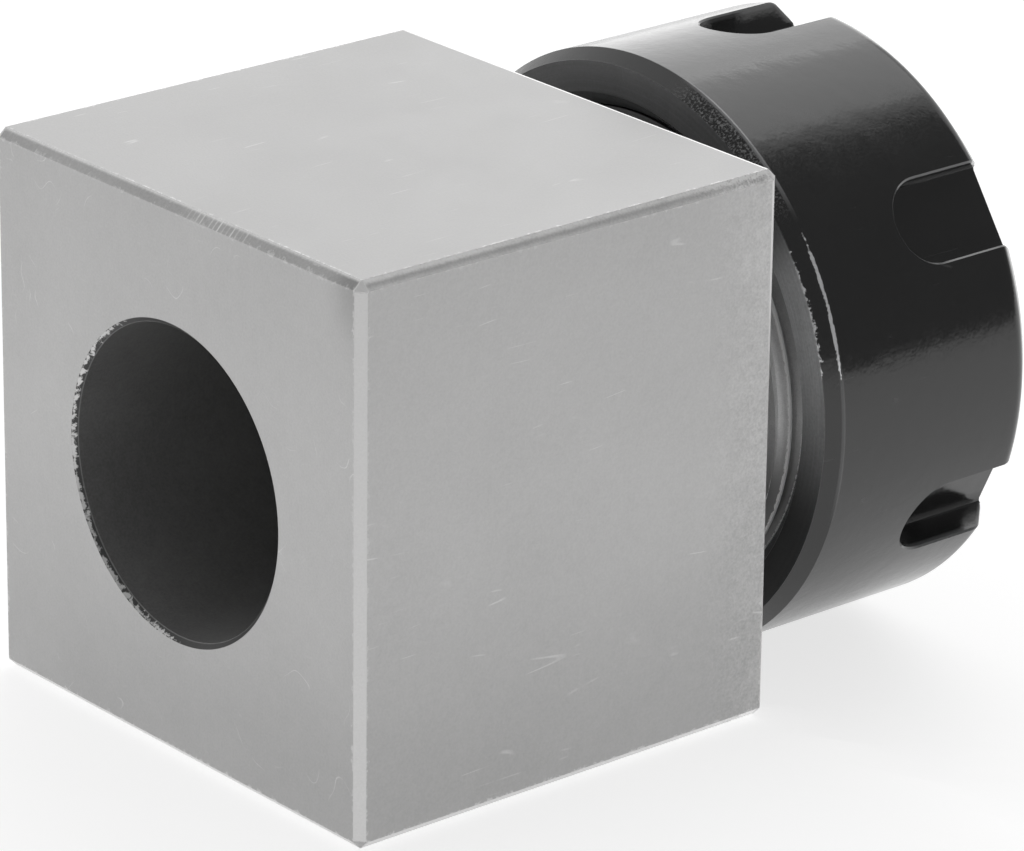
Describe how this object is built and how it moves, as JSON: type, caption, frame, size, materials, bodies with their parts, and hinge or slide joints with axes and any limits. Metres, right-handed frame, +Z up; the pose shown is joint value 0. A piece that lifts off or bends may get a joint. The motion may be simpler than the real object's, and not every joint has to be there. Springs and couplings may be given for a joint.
{
  "type": "square collet block",
  "caption": "Square steel block with a threaded nose, a slotted clamping nut and a slit spring collet that grips round work.",
  "frame": {"origin": "centre of the square block's bottom face", "axes": "+X along the collet's axis from the block's bored rear face towards the nut, +Z up; the collet's axis lies 22.5 mm above the bottom face"},
  "size_m": [0.0674, 0.0492, 0.0493],
  "materials": {
    "ground_steel": "ground, satin",
    "blackened_steel": "black oxide, semi-gloss, worn bright at the back edge",
    "collet_steel": "fine ground, polished tapers"
  },
  "bodies": {
    "block": {"collet_block": "ground_steel"},
    "collet": {"spring_collet": "collet_steel"},
    "nut": {"clamping_nut": "blackened_steel"}
  },
  "joints": [
    {"name": "collet_slide", "type": "slide", "parent": "block", "child": "collet", "axis": [1, 0, 0], "range_m": [0, 0.0135]},
    {"name": "nut_turn", "type": "hinge", "parent": "collet", "child": "nut", "pos_m": [0.03575, 0, 0.0225], "axis": [1, 0, 0], "range_deg": [0, 3240]}
  ],
  "couplings": [
    {"joint": "collet_slide", "follows": "nut_turn", "m_per_rad": 0.00023873}
  ]
}
